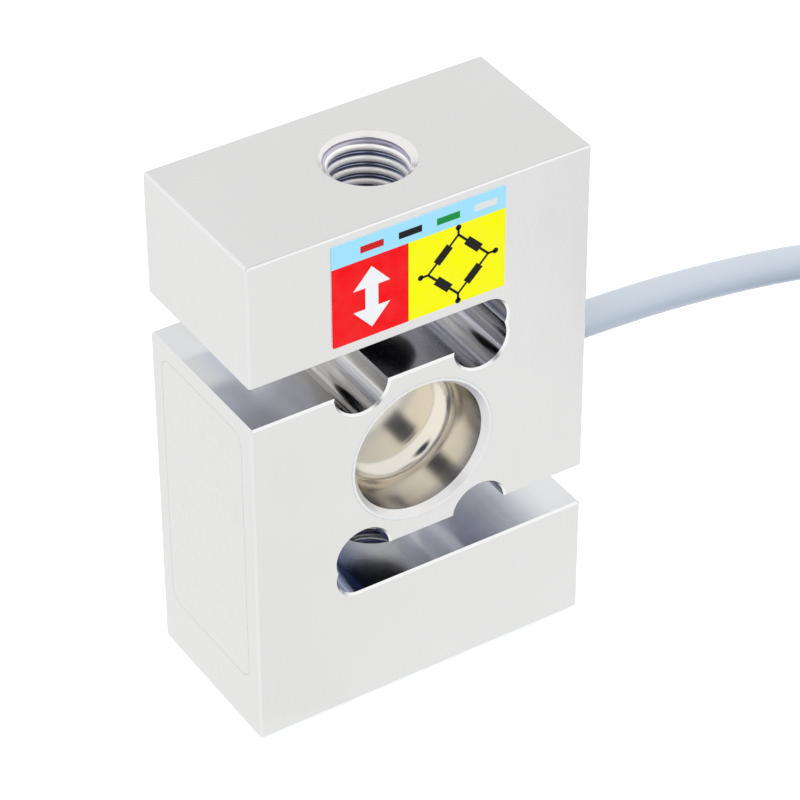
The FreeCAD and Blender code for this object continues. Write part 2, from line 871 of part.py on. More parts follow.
def make_cable_coil():
    """The outer shape of the wound turns, six high and three wide, with its two loose ends."""
    diameter = DIMENSIONS["cable_diameter"]
    width = DIMENSIONS["coil_columns"] * diameter
    inner = DIMENSIONS["coil_mean_radius"] - width / 2
    outer = inner + width
    low = DIMENSIONS["coil_lift"]
    high = low + DIMENSIONS["coil_rows"] * diameter
    cut = DIMENSIONS["coil_chamfer"]
    section = [
        Vector(inner + cut, 0, low),
        Vector(outer - cut, 0, low),
        Vector(outer, 0, low + cut),
        Vector(outer, 0, high - cut),
        Vector(outer - cut, 0, high),
        Vector(inner + cut, 0, high),
        Vector(inner, 0, high - cut),
        Vector(inner, 0, low + cut),
    ]
    outline = Part.makePolygon([*section, section[0]])
    ring = Part.Face(outline).revolve(Vector(0, 0, 0), Vector(0, 0, 1), 360)
    ring.translate(coil_centre())
    route = cable_route()
    arriving = (route[-1] - route[-2]).normalize()
    lead_in = Part.makeCylinder(diameter / 2, DIMENSIONS["coil_lead_in"], route[-1], arriving)
    leaving, direction = tail_route()
    inset = DIMENSIONS["tail_inset"]
    start, run = leaving + direction * inset, DIMENSIONS["tail_run"] - inset
    tail = Part.makeCylinder(diameter / 2, run, start, direction)
    return keep_shape("cable_coil", ring.fuse([lead_in, tail]).removeSplitter())


def make_coil_tie():
    """Two nylon ties round the bundle of turns, each a closed band with a small square head."""
    band = DIMENSIONS["coil_lift"]
    width = DIMENSIONS["tie_width"]
    diameter = DIMENSIONS["cable_diameter"]
    inner = coil_turn_radius(0) - diameter / 2 - 0.15
    outer = coil_turn_radius(DIMENSIONS["coil_columns"] - 1) + diameter / 2
    height = DIMENSIONS["coil_rows"] * diameter
    head = DIMENSIONS["tie_head_height"]
    ties = []
    for angle in (45, 225):
        loop = Part.makeBox(outer - inner + 2 * band, width, height + 2 * band)
        loop.translate(Vector(inner - band, -width / 2, 0))
        loop = loop.makeChamfer(band, [edge for edge in loop.Edges if edge.BoundBox.YLength > 1])
        hole = Part.makeBox(outer - inner, width, height)
        hole.translate(Vector(inner, -width / 2, band))
        lock = Part.makeBox(head, width + 1, head)
        lock.translate(Vector((inner + outer - head) / 2, -width / 2 - 0.5, height + 2 * band))
        tie = loop.cut(hole).fuse(lock).removeSplitter()
        tie.rotate(Vector(0, 0, 0), Vector(0, 0, 1), angle)
        tie.translate(coil_centre())
        ties.append(tie)
    return keep_shape("coil_tie", Part.makeCompound(ties))


def make_end_sleeve():
    """The shrunk sleeve over the end of the jacket."""
    leaving, direction = tail_route()
    radius = DIMENSIONS["cable_diameter"] / 2 + DIMENSIONS["sleeve_wall"]
    start = leaving + direction * DIMENSIONS["tail_run"]
    sleeve = Part.makeCylinder(radius, DIMENSIONS["sleeve_length"], start, direction)
    return keep_shape("cable_end_sleeve", sleeve)


def make_flying_lead(name, lane, lift):
    """One insulated core that fans out of the sleeve and lies down, with a bare tinned tip."""
    leaving, direction = tail_route()
    across = Vector(-direction.y, direction.x, 0)
    core = DIMENSIONS["core_diameter"]
    start = leaving + direction * (DIMENSIONS["tail_run"] + DIMENSIONS["sleeve_length"])
    insulated = DIMENSIONS["flying_lead_length"] - DIMENSIONS["bare_tip_length"]
    floor = core / 2 - start.z
    mouth = across * (lane * DIMENSIONS["lead_pitch"]) + Vector(0, 0, lift)
    spread = across * (lane * DIMENSIONS["lead_fan_pitch"])
    points = [
        start + mouth,
        start + mouth + direction * 0.2 * insulated,
        start + spread * 0.7 + direction * 0.55 * insulated + Vector(0, 0, floor + 0.5),
        start + spread + direction * insulated + Vector(0, 0, floor),
    ]
    insulation = tube(points, core)[0]
    heading = (points[-1] - points[-2]).normalize()
    heading.z = 0
    tip = Part.makeCylinder(
        DIMENSIONS["bare_tip_diameter"] / 2,
        DIMENSIONS["bare_tip_length"] + 0.5,
        points[-1] - heading * 0.5,
        heading,
    )
    return keep_shape(name, insulation.fuse(tip).removeSplitter())


# ---------------------------------------------------------------- rating label


def make_label():
    body = new_body("rating_label")
    middle = cells.label_base + cells.label_height / 2
    sketch = new_sketch(
        body, "label_outline", "XZ_Plane", cells.label_centre_across, middle, cells.block_depth / 2
    )
    outline = rounded_rectangle(cells.label_width, cells.label_height, cells.label_corner)
    draw_outline(sketch, outline)
    add_pad(body, sketch, cells.label_thickness)
    return body


# ---------------------------------------------------------------- the whole cell


def build():
    parts = [make_spring_element()]
    for place, side in (("front", -1), ("rear", 1)):
        parts.append(make_sealing_cup(f"{place}_sealing_cup", side))
        parts.append(make_strain_gauge(f"{place}_strain_gauge", side))
        parts.append(make_solder_terminals(f"{place}_solder_terminals", side))
        parts.append(make_gauge_leads(f"{place}_gauge_leads", side))
    parts.append(make_board_lead("board_lead_red", -1, "outer"))
    parts.append(make_board_lead("board_lead_black", -1, "inner"))
    parts.append(make_board_lead("board_lead_green", 1, "outer"))
    parts.append(make_board_lead("board_lead_white", 1, "inner"))
    parts.append(make_board())
    parts.append(make_bonding_pad())
    parts.append(make_chip_resistor("span_trim_resistor", -3.4, 26.0))
    parts.append(make_chip_resistor("zero_balance_resistor", 3.4, 26.0))
    parts.append(make_chip_resistor("supply_modulus_resistor", -3.4, 17.0))
    parts.append(make_chip_resistor("return_modulus_resistor", 3.4, 17.0))
    parts.append(make_side_cover())
    parts.append(make_side_gasket())
    parts.append(make_gland_seal())
    parts.append(make_gland_washer())
    parts.append(make_gland_screw())
    parts.append(make_signal_cable())
    parts.append(make_cable_coil())
    parts.append(make_coil_tie())
    parts.append(make_end_sleeve())
    parts.append(make_flying_lead("flying_lead_red", 1.5, 0.6))
    parts.append(make_flying_lead("flying_lead_black", 0.5, -0.8))
    parts.append(make_flying_lead("flying_lead_green", -0.5, 0.8))
    parts.append(make_flying_lead("flying_lead_white", -1.5, -0.6))
    parts.append(make_label())
    return parts


def write(parts):
    """Checks every object and every sub-part, then writes one STEP file for each sub-part."""
    doc.recompute()
    for thing in doc.Objects:
        if "Invalid" in thing.State or "Error" in thing.State:
            raise ValueError(f"{thing.Name} did not compute: {thing.State}")
    for part in parts:
        shape = part.Shape
        if shape.isNull() or not shape.isValid() or not shape.Solids:
            raise ValueError(f"{part.Label} has no valid solid")
    os.makedirs("parts", exist_ok=True)
    for part in parts:
        part.Shape.exportStep(f"parts/{part.Label}.step")
        volume, solids = round(part.Shape.Volume, 2), len(part.Shape.Solids)
        print(part.Label, "volume", volume, "solids", solids)


if __name__ == "__main__":
    write(build())
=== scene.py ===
"""Looks of the S-type load cell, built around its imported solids. Everything is in metres."""

import math

import bmesh
import bpy
from mathutils import Matrix, Vector

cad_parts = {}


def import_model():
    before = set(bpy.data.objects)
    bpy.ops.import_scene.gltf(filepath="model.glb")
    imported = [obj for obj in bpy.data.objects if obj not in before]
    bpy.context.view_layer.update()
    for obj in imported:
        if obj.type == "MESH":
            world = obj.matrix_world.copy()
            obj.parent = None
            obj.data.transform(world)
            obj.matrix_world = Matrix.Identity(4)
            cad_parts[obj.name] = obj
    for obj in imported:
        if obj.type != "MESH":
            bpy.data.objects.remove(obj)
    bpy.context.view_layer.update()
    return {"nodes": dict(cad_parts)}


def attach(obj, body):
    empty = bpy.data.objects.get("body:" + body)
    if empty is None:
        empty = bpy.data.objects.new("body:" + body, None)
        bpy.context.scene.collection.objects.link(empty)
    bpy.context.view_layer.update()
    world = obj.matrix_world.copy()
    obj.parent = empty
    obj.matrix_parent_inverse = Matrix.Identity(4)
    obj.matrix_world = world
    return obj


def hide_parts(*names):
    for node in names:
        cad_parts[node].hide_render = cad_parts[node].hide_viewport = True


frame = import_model()
nodes = frame["nodes"]
MM = 0.001

# The block, in millimetres: half its depth, its height and the height of its middle.
HALF_DEPTH, HEIGHT, MIDDLE = 12.7, 76.2, 38.1
# How far from the middle the 0.3 mm broken edges begin, along X, Y and Z.
BREAK_X, BREAK_Y, BREAK_Z = 25.08, 12.39, 37.78
# The slots' flat inner faces lie just over this far from the middle: nearer are the lobes.
SLOT_INNER = 13.36

# The M12 threads: pitch, major radius, and how far the countersunk mouth runs out past it.
PITCH, MAJOR, MOUTH = 1.75, 6.0, 0.38
# The height at which the helix starts: it puts the turns where the photograph shows them.
START = 56.48

# The label's front face, and where its red field and its blue strip end.
LABEL_FRONT, LABEL_SPLIT, LABEL_STRIP = -12.82, -2.2, 71.5


# ---------------------------------------------------------------- node graphs


class Graph:
    """A material's node tree, with short calls for what the materials share."""

    def __init__(self, name):
        self.material = bpy.data.materials.new(name)
        self.material.use_nodes = True
        self.tree = self.material.node_tree
        self.shader = self.tree.nodes["Principled BSDF"]
        self.output = self.tree.nodes["Material Output"]
        self.place = self.node("ShaderNodeTexCoord").outputs["Object"]

    def node(self, kind, inputs=None, **settings):
        made = self.tree.nodes.new(kind)
        for key, value in settings.items():
            setattr(made, key, value)
        for key, value in (inputs or {}).items():
            self.feed(made.inputs[key], value)
        return made

    def feed(self, socket, value):
        if isinstance(value, bpy.types.NodeSocket):
            self.tree.links.new(value, socket)
        else:
            socket.default_value = value

    def set(self, **inputs):
        """Feeds the shader's sockets: Base_Color=..., Roughness=... and so on."""
        for key, value in inputs.items():
            self.feed(self.shader.inputs[key.replace("_", " ")], value)

    def math(self, operation, *values, clamp=False):
        made = self.node("ShaderNodeMath", operation=operation, use_clamp=clamp)
        for index, value in enumerate(values):
            self.feed(made.inputs[index], value)
        return made.outputs[0]

    def axes(self):
        split = self.node("ShaderNodeSeparateXYZ", {"Vector": self.place})
        return [split.outputs[axis] for axis in "XYZ"]

    def distance(self, across, up):
        """How far a point is from an axis, given its two offsets from it."""
        squares = [self.math("MULTIPLY", value, value) for value in (across, up)]
        return self.math("SQRT", self.math("ADD", *squares))

    def noise(self, scale, stretch=(1, 1, 1), detail=3.0, roughness=0.55, distortion=0.0):
        """Noise with scale features to the metre, squeezed along each axis by stretch."""
        mapping = self.node("ShaderNodeMapping", {"Vector": self.place, "Scale": stretch})
        made = self.node(
            "ShaderNodeTexNoise",
            {
                "Vector": mapping.outputs[0],
                "Scale": scale,
                "Detail": detail,
                "Roughness": roughness,
                "Distortion": distortion,
            },
        )
        return made.outputs[0]

    def spread(self, value, from_low, from_high, to_low, to_high, smooth=False):
        made = self.node(
            "ShaderNodeMapRange",
            {
                "Value": value,
                "From Min": from_low,
                "From Max": from_high,
                "To Min": to_low,
                "To Max": to_high,
            },
            interpolation_type="SMOOTHSTEP" if smooth else "LINEAR",
        )
        return made.outputs[0]

    def blend(self, factor, first, second):
        made = self.node("ShaderNodeMix", data_type="RGBA")
        self.feed(made.inputs["Factor"], factor)
        for index, value in ((6, first), (7, second)):
            self.feed(made.inputs[index], value)
        return made.outputs[2]

    def bump(self, height, distance, strength=1.0):
        made = self.node(
            "ShaderNodeBump", {"Height": height, "Distance": distance, "Strength": strength}
        )
        self.feed(self.shader.inputs["Normal"], made.outputs[0])


def rgb(red, green, blue):
    return (red, green, blue, 1.0)


def grey(value):
    return rgb(value, value, value)


# ---------------------------------------------------------------- materials


def nickel_plate():
    """Satin nickel over ground steel, with a painted highlight on the broken edges and painted
    reflections and shade in the slots.

    The tints in the slots are placed to match what the photograph's studio shows in them.
    """
    g = Graph("satin_nickel_plate")
    x, y, z = g.axes()
    off_x, off_y = g.math("ABSOLUTE", x), g.math("ABSOLUTE", y)
    off_z = g.math("ABSOLUTE", g.math("SUBTRACT", z, MIDDLE * MM))
    rim_x = g.math("GREATER_THAN", off_x, BREAK_X * MM)
    rim_y = g.math("GREATER_THAN", off_y, BREAK_Y * MM)
    rim_z = g.math("GREATER_THAN", off_z, BREAK_Z * MM)
    inside = g.math("SUBTRACT", 1.0, g.math("MAXIMUM", rim_x, g.math("MAXIMUM", rim_y, rim_z)))
    outline = g.math("MULTIPLY", rim_y, g.math("LESS_THAN", off_y, (HALF_DEPTH - 0.005) * MM))
    # Painted highlight along the broken edges, lightest at the slots' edges.
    painted_edge_highlight = g.math("MAXIMUM", outline, g.math("MULTIPLY", rim_x, rim_z))

    cloud = g.noise(55.0, detail=2.0)
    grain = g.noise(900.0, (1.0, 1.0, 0.12), detail=4.0, roughness=0.6)
    outer = g.blend(cloud, rgb(0.795, 0.792, 0.785), rgb(0.825, 0.823, 0.820))
    outer = g.blend(painted_edge_highlight, outer, grey(0.86))
    painted_slot_edge_highlight = g.math("MULTIPLY", outline, g.math("SUBTRACT", 1.0, rim_x))
    outer = g.blend(painted_slot_edge_highlight, outer, grey(0.95))
    # Painted shade: a darker strip under the top and base keeps the bright line along them thin.
    painted_shade_brow = g.math("MULTIPLY", outline, g.math("LESS_THAN", off_y, 12.53 * MM))
    painted_shade_brow = g.math("MULTIPLY", rim_z, painted_shade_brow)
    outer = g.blend(painted_shade_brow, outer, grey(0.70))

    # In the slots, painted reflections and shade step softly by place: the upper one against the
    # lower, the stretch between the lobes, and along X a painted dark left end, a painted darker
    # tint at the right and painted light at the open ends.
    streak = g.noise(1100.0, (1.0, 0.012, 1.0), detail=5.0, roughness=0.62)
    broad = g.noise(260.0, (1.0, 0.05, 1.0), detail=2.0)
    stain = g.noise(120.0, detail=3.0, distortion=0.6)
    upper = g.spread(z, 30 * MM, 46 * MM, 0.0, 1.0)
    central = g.spread(off_x, 13 * MM, 17 * MM, 1.0, 0.0, smooth=True)
    lobe = g.math("LESS_THAN", off_z, SLOT_INNER * MM)
    lined = g.spread(lobe, 0.0, 1.0, 0.25, 1.0)
    painted_dark_left_fade = g.spread(x, -9 * MM, -1 * MM, 0.0, 1.0, smooth=True)
    painted_dark_right_fade = g.spread(x, 3 * MM, 9 * MM, 0.0, 1.0, smooth=True)
    painted_light_open_ends = g.spread(off_x, 15 * MM, 21 * MM, 0.0, 1.0, smooth=True)
    painted_reflection_near_ends = g.blend(painted_light_open_ends, rgb(0.62, 0.64, 0.76), rgb(0.79, 0.80, 0.81))
    painted_dark_far_end = g.spread(x, 9 * MM, 13 * MM, 0.0, 1.0, smooth=True)
    low_dark = g.blend(painted_dark_right_fade, grey(0.80), rgb(0.55, 0.56, 0.62))
    low_dark = g.blend(painted_dark_left_fade, rgb(0.22, 0.26, 0.40), low_dark)
    low_light = g.blend(painted_dark_right_fade, grey(0.90), rgb(0.68, 0.69, 0.74))
    low_light = g.blend(painted_dark_left_fade, rgb(0.34, 0.38, 0.52), low_light)
    low_dark = g.blend(painted_light_open_ends, low_dark, rgb(0.84, 0.85, 0.87))
    low_light = g.blend(painted_light_open_ends, low_light, rgb(0.88, 0.89, 0.90))
    high_dark = g.blend(painted_dark_far_end, rgb(0.600, 0.595, 0.600), rgb(0.36, 0.37, 0.46))
    high_light = g.blend(painted_dark_far_end, rgb(0.830, 0.820, 0.795), rgb(0.62, 0.62, 0.66))
    high_dark = g.blend(central, painted_reflection_near_ends, high_dark)
    high_light = g.blend(central, painted_reflection_near_ends, high_light)
    dark = g.blend(upper, low_dark, high_dark)
    light = g.blend(upper, low_light, high_light)
    # The cutter's streaks run through the block, show most on the lobes, and blend between the
    # painted dark and light reflection tones.
    share = g.math("MULTIPLY", g.spread(streak, 0.40, 0.60, 0.0, 1.0), lined)
    wall = g.blend(share, dark, light)
    wall = g.blend(g.spread(stain, 0.48, 0.70, 0.0, 0.35), wall, rgb(0.66, 0.65, 0.64))
    g.set(
        Base_Color=g.blend(inside, outer, wall),
        Metallic=1.0,
        Roughness=g.blend(
            inside,
            g.spread(grain, 0.3, 0.7, 0.26, 0.30),
            g.spread(broad, 0.3, 0.7, 0.11, 0.17),
        ),
    )
    relief = g.blend(
        inside, g.spread(grain, 0.0, 1.0, 0.4995, 0.5005), g.spread(streak, 0.0, 1.0, 0.49, 0.51)
    )
    g.bump(relief, 0.02 * MM, 0.25)
    return g.material


def cut_thread_metal():
    """Plain metal at the mouth, painted highlights on matte crests, painted dark reflections on
    the blue-grey slopes, and painted shade near black far down the hole.
    """
    g = Graph("cut_thread_metal")
    x, y, z = g.axes()
    around = g.distance(x, y)
    off_z = g.math("ABSOLUTE", g.math("SUBTRACT", z, MIDDLE * MM))
    depth = g.math("SUBTRACT", MIDDLE * MM, off_z)
    cone = g.math("LESS_THAN", g.math("ADD", depth, around), (MAJOR + MOUTH + 0.06) * MM)
    # Painted highlight: the crests turn white.
    crest = g.spread(around, 5.42 * MM, 5.50 * MM, 1.0, 0.0)
    painted_highlight_bands = g.math("MAXIMUM", cone, crest)
    film = g.noise(700.0, detail=3.0)
    # Painted dark reflection on the slopes between the crests, with painted light on them just
    # below the mouth.
    painted_flank_reflection = g.blend(film, rgb(0.24, 0.26, 0.40), rgb(0.36, 0.38, 0.50))
    painted_light_near_mouth = g.spread(depth, 1.2 * MM, 2.0 * MM, 0.7, 0.0)
    painted_flank_reflection = g.blend(painted_light_near_mouth, painted_flank_reflection, rgb(0.62, 0.60, 0.70))
    turned = g.blend(painted_highlight_bands, painted_flank_reflection, rgb(0.98, 0.98, 0.98))
    turned = g.blend(cone, turned, grey(0.80))
    # Painted shade: near black from 10 to 14 mm down the hole.
    painted_deep_shade = g.spread(depth, 10 * MM, 14 * MM, 0.0, 1.0)
    # The painted highlight and the painted light near the mouth are made matte, so that they read
    # white.
    matte_painted_highlight = g.math("MAXIMUM", crest, painted_light_near_mouth)
    matte_painted_highlight = g.math("MULTIPLY", matte_painted_highlight, g.math("SUBTRACT", 0.8, painted_deep_shade))
    polish = g.spread(film, 0.3, 0.7, 0.14, 0.22)
    g.set(
        Base_Color=g.blend(painted_deep_shade, turned, rgb(0.012, 0.014, 0.022)),
        Metallic=g.math("SUBTRACT", 1.0, matte_painted_highlight, clamp=True),
        Roughness=g.math("ADD", polish, g.math("MULTIPLY", 0.35, painted_deep_shade)),
    )
    g.bump(film, 0.01 * MM, 0.05)
    return g.material


def sealing_cup_metal():
    """Drawn steel with a warm tint in the cup, and a flared lip as pale as the block.

    The tan at the right and the slate at the lower left match the photograph's reflections.
    """
    g = Graph("drawn_cup_metal")
    x, y, z = g.axes()
    off_y = g.math("ABSOLUTE", y)
    lip = g.math("GREATER_THAN", off_y, 11.8 * MM)
    cloud = g.noise(60.0, detail=2.0)
    fine = g.noise(500.0, detail=4.0)
    around = g.distance(x, g.math("SUBTRACT", z, MIDDLE * MM))
    wall = g.math("GREATER_THAN", around, 9.4 * MM)
    polish = [g.spread(fine, 0.3, 0.7, low, low + 0.03) for low in (0.15, 0.18)]
    cup = g.blend(cloud, rgb(0.765, 0.730, 0.645), rgb(0.800, 0.770, 0.700))
    # Painted reflection: a tan towards the right of the cup.
    cup = g.blend(g.spread(x, 2 * MM, 8 * MM, 0.0, 1.0), cup, rgb(0.870, 0.815, 0.710))
    # Painted slate reflection near the lip all round and over the lower left.
    near_lip = g.spread(off_y, 9.8 * MM, 11.7 * MM, 0.0, 0.85)
    left = g.spread(x, -7 * MM, 3 * MM, 1.0, 0.0)
    left = g.math("MULTIPLY", left, g.spread(off_y, 5.5 * MM, 9.5 * MM, 0.0, 1.0))
    cup = g.blend(g.math("MAXIMUM", near_lip, left), cup, rgb(0.38, 0.39, 0.45))
    g.set(
        Base_Color=g.blend(lip, cup, grey(0.82)),
        Metallic=g.spread(lip, 0.0, 1.0, 1.0, 0.35),
        Roughness=g.blend(lip, g.blend(wall, *polish), grey(0.30)),
    )
    g.bump(fine, 0.01 * MM, 0.04)
    return g.material


def plain_metal(name, low, high, roughness, grain=600.0, stretch=(1, 1, 1), relief=0.1):
    g = Graph(name)
    cloud = g.noise(grain * 0.12, detail=2.0)
    fine = g.noise(grain, stretch, detail=4.0)
    g.set(
        Base_Color=g.blend(cloud, low, high),
        Metallic=1.0,
        Roughness=g.spread(fine, 0.3, 0.7, roughness * 0.85, roughness * 1.2),
    )
    g.bump(fine, 0.01 * MM, relief)
    return g.material


def moulded(name, low, high, roughness, grain=900.0, relief=0.15, **sockets):
    g = Graph(name)
    cloud = g.noise(grain * 0.07, detail=2.0)
    fine = g.noise(grain, detail=3.0)
    g.set(
        Base_Color=g.blend(cloud, low, high),
        Roughness=g.spread(fine, 0.3, 0.7, roughness * 0.9, roughness * 1.15),
        **sockets,
    )
    g.bump(fine, 0.02 * MM, relief)
    return g.material


def label_print():
    """Three flat fields of colour on white film."""
    g = Graph("label_fields")
    x, y, z = g.axes()
    right = g.math("GREATER_THAN", x, LABEL_SPLIT * MM)
    strip = g.math("GREATER_THAN", z, LABEL_STRIP * MM)
    front = g.math("LESS_THAN", y, -(HALF_DEPTH + 0.06) * MM)
    fields = g.blend(right, rgb(0.93, 0.003, 0.006), rgb(0.97, 0.95, 0.0))
    fields = g.blend(strip, fields, rgb(0.36, 0.76, 0.97))
    tone = g.noise(420.0, detail=2.0)
    worn = g.blend(g.spread(tone, 0.3, 0.7, 0.0, 0.02), fields, grey(0.85))
    g.set(
        Base_Color=g.blend(front, grey(0.85), worn),
        Roughness=g.spread(tone, 0.3, 0.7, 0.32, 0.42),
        Specular_IOR_Level=0.06,
    )
    return g.material


def ink(name, low, high):
    return moulded(name, low, high, 0.4, relief=0.02, Specular_IOR_Level=0.06)


def dress(node, material):
    for slot in nodes[node].material_slots:
        slot.material = material


nickel = nickel_plate()
thread_metal = cut_thread_metal()
cup_metal = sealing_cup_metal()
cover_metal = plain_metal(
    "cover_plate_metal", rgb(0.80, 0.797, 0.79), rgb(0.82, 0.818, 0.815), 0.28, 900.0, relief=0.01
)
gland_metal = plain_metal("gland_metal", rgb(0.70, 0.68, 0.64), rgb(0.78, 0.76, 0.72), 0.20, 900.0)
copper = plain_metal("enamelled_copper", rgb(0.45, 0.15, 0.05), rgb(0.60, 0.22, 0.08), 0.25)
jacket = moulded("cable_jacket", rgb(0.49, 0.56, 0.64), rgb(0.52, 0.59, 0.67), 0.22, 1200.0, 0.04)
nylon = moulded("natural_nylon", rgb(0.74, 0.73, 0.67), rgb(0.84, 0.83, 0.78), 0.40)
black_rubber = moulded("black_rubber", grey(0.015), grey(0.030), 0.55)
gauge_film = moulded("gauge_film", rgb(0.60, 0.30, 0.06), rgb(0.75, 0.42, 0.10), 0.35)
terminal_film = moulded("terminal_film", rgb(0.50, 0.36, 0.12), rgb(0.62, 0.46, 0.18), 0.4)
laminate = moulded("board_laminate", rgb(0.01, 0.14, 0.05), rgb(0.02, 0.22, 0.08), 0.3)
silicone = moulded("bonding_silicone", grey(0.62), grey(0.74), 0.6)
ceramic = moulded("chip_ceramic", grey(0.02), grey(0.05), 0.3)
core_colours = {
    "red": (rgb(0.55, 0.010, 0.010), rgb(0.70, 0.020, 0.020)),
    "black": (grey(0.010), grey(0.022)),
    "green": (rgb(0.010, 0.22, 0.04), rgb(0.020, 0.33, 0.07)),
    "white": (grey(0.72), grey(0.82)),
}
core_plastic = {
    colour: moulded(f"core_{colour}", low, high, 0.38)
    for colour, (low, high) in core_colours.items()
}

dress("spring_element", nickel)
dress("side_cover_plate", cover_metal)
for place in ("front", "rear"):
    dress(f"{place}_sealing_cup", cup_metal)
    dress(f"{place}_strain_gauge", gauge_film)
    dress(f"{place}_solder_terminals", terminal_film)
    dress(f"{place}_gauge_leads", copper)
for colour, material in core_plastic.items():
    dress(f"board_lead_{colour}", material)
    dress(f"flying_lead_{colour}", material)
dress("compensation_board", laminate)
dress("board_bonding_pad", silicone)
for resistor in ("span_trim", "zero_balance", "supply_modulus", "return_modulus"):
    dress(f"{resistor}_resistor", ceramic)
for seal in ("side_cover_gasket", "gland_seal", "cable_end_sleeve"):
    dress(seal, black_rubber)
for ring in ("gland_washer", "gland_screw"):
    dress(ring, gland_metal)
dress("coil_tie", nylon)
dress("rating_label", label_print())


# ---------------------------------------------------------------- mesh pieces


def finish_mesh(name, shape, material, sharp=35.0):
    """Turns a bmesh into a piece that rides on the body."""
    mesh = bpy.data.meshes.new(name)
    bmesh.ops.recalc_face_normals(shape, faces=shape.faces)
    shape.to_mesh(mesh)
    shape.free()
    mesh.shade_smooth()
    mesh.set_sharp_from_angle(angle=math.radians(sharp))
    mesh.materials.append(material)
    piece = bpy.data.objects.new(name, mesh)
    bpy.context.scene.collection.objects.link(piece)
    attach(piece, "root")


def thread_outline():
    """One pitch of the thread from root to root: (offset along the axis, radius).

    Crest and root are rounder than a true M12 thread's, for the photograph's broad bands.
    """
    half, depth = PITCH / 2, PITCH / 2 * math.sqrt(3)
    outer_apex = MAJOR + depth / 8
    inner_apex = outer_apex - depth
    crest, root = 0.50, 0.30
    points = []
    for step in range(-5, 6):
        turn = math.radians(12 * step)
        points.append((crest * math.sin(turn), inner_apex + crest * (2 - math.cos(turn))))
    for step in range(4, -1, -1):
        turn = math.radians(15 * step)
        points.append((half - root * math.sin(turn), outer_apex - root * (2 - math.cos(turn))))
    mirrored = [(-offset, radius) for offset, radius in reversed(points[11:])]
    return mirrored + points


def thread(name, turned_over):
    """The turns of the thread inside the plain hole, with its countersunk mouth."""
    low, high = 57.7, 76.19
    stations = 96
    outline = thread_outline()
    gap, run_out = 0.02, 1.5

    def mouth(z):
        return MAJOR + z - (HEIGHT - MOUTH)

    def place(angle, offset, radius, inner):
        z = START + PITCH * (angle / (2 * math.pi)) + offset
        z = min(max(z, low), high)
        if inner:
            radius = max(radius, mouth(z) - gap, MAJOR - gap - run_out * (z - low))
        else:
            radius = max(MAJOR, mouth(z)) - gap / 3
        x, y = radius * math.cos(angle), radius * math.sin(angle)
        if turned_over:
            x, z = -x, HEIGHT - z
        return Vector((x, y, z)) * MM

    shape = bmesh.new()
    turns = math.ceil((high - low) / PITCH) + 2
    rows = []
    for station in range(turns * stations + 1):
        angle = 2 * math.pi * station / stations
        inner = [shape.verts.new(place(angle, *point, True)) for point in outline]
        ends = (outline[0], outline[-1])
        outer = [shape.verts.new(place(angle, *point, False)) for point in ends]
        rows.append((inner, outer))
    for (inner, outer), (next_inner, next_outer) in zip(rows, rows[1:]):
        for here, there in ((inner, next_inner), (outer, next_outer)):
            for k in range(len(here) - 1):
                shape.faces.new((here[k], here[k + 1], there[k + 1], there[k]))
    bmesh.ops.remove_doubles(shape, verts=shape.verts, dist=1e-7)
    bmesh.ops.dissolve_degenerate(shape, edges=shape.edges, dist=1e-7)
    finish_mesh(name, shape, thread_metal)


def rounded_loop(width, height, corner, steps=8):
    """Points (across, up) round a rectangle with rounded corners."""
    points = []
    for quarter, (side, end) in enumerate(((1, 1), (-1, 1), (-1, -1), (1, -1))):
        for step in range(steps + 1):
            turn = math.radians(90 * (quarter + step / steps))
            points.append((
                side * (width / 2 - corner) + corner * math.cos(turn),
                end * (height / 2 - corner) + corner * math.sin(turn),
            ))
    return points


def cover_seam():
    """A hair-thin bead of sealant between the cover plate and its seat."""
    shape = bmesh.new()
    seat, plate = (20.20, 40.70, 2.00), (20.10, 40.60, 1.95)
    centre, front, back = 28.85, -25.37, -25.25
    rows = [
        [
            shape.verts.new(Vector((x, across, centre + up)) * MM)
            for across, up in rounded_loop(*size)
        ]
        for x, size in ((front, seat), (front, plate), (back, plate), (back, seat))
    ]
    for row, beside in zip(rows, rows[1:] + rows[:1]):
        for k in range(len(row)):
            after = (k + 1) % len(row)
            shape.faces.new((row[k], row[after], beside[after], beside[k]))
    low, high = rgb(0.60, 0.61, 0.62), rgb(0.68, 0.69, 0.70)
    sealant = moulded("seam_sealant", low, high, 0.5, relief=0.02)
    finish_mesh("cover_seam_bead", shape, sealant)


thread("upper_thread_turns", False)
thread("lower_thread_turns", True)
cover_seam()


def print_plates(name, outlines, material):
    """Printed shapes on the label's face: each outline is a list of (x, z) in millimetres."""
    thickness = 0.012
    shape = bmesh.new()
    for outline in outlines:
        rings = []
        for depth in (LABEL_FRONT, LABEL_FRONT - thickness):
            rings.append([shape.verts.new(Vector((x, depth, z)) * MM) for x, z in outline])
        back, front = rings
        shape.faces.new(front)
        shape.faces.new(back[::-1])
        for k in range(len(outline)):
            other = (k + 1) % len(outline)
            shape.faces.new((back[k], back[other], front[other], front[k]))
    finish_mesh(name, shape, material)


def bar(start, end, width):
    """A straight bar's outline, from one (x, z) point to another."""
    start, end = Vector(start), Vector(end)
    across = (end - start).orthogonal().normalized() * width / 2
    return [tuple(start + across), tuple(end + across), tuple(end - across), tuple(start - across)]


def disc(centre, radius, sides=24):
    turn = 2 * math.pi / sides
    return [
        (centre[0] + radius * math.cos(k * turn), centre[1] + radius * math.sin(k * turn))
        for k in range(sides)
    ]


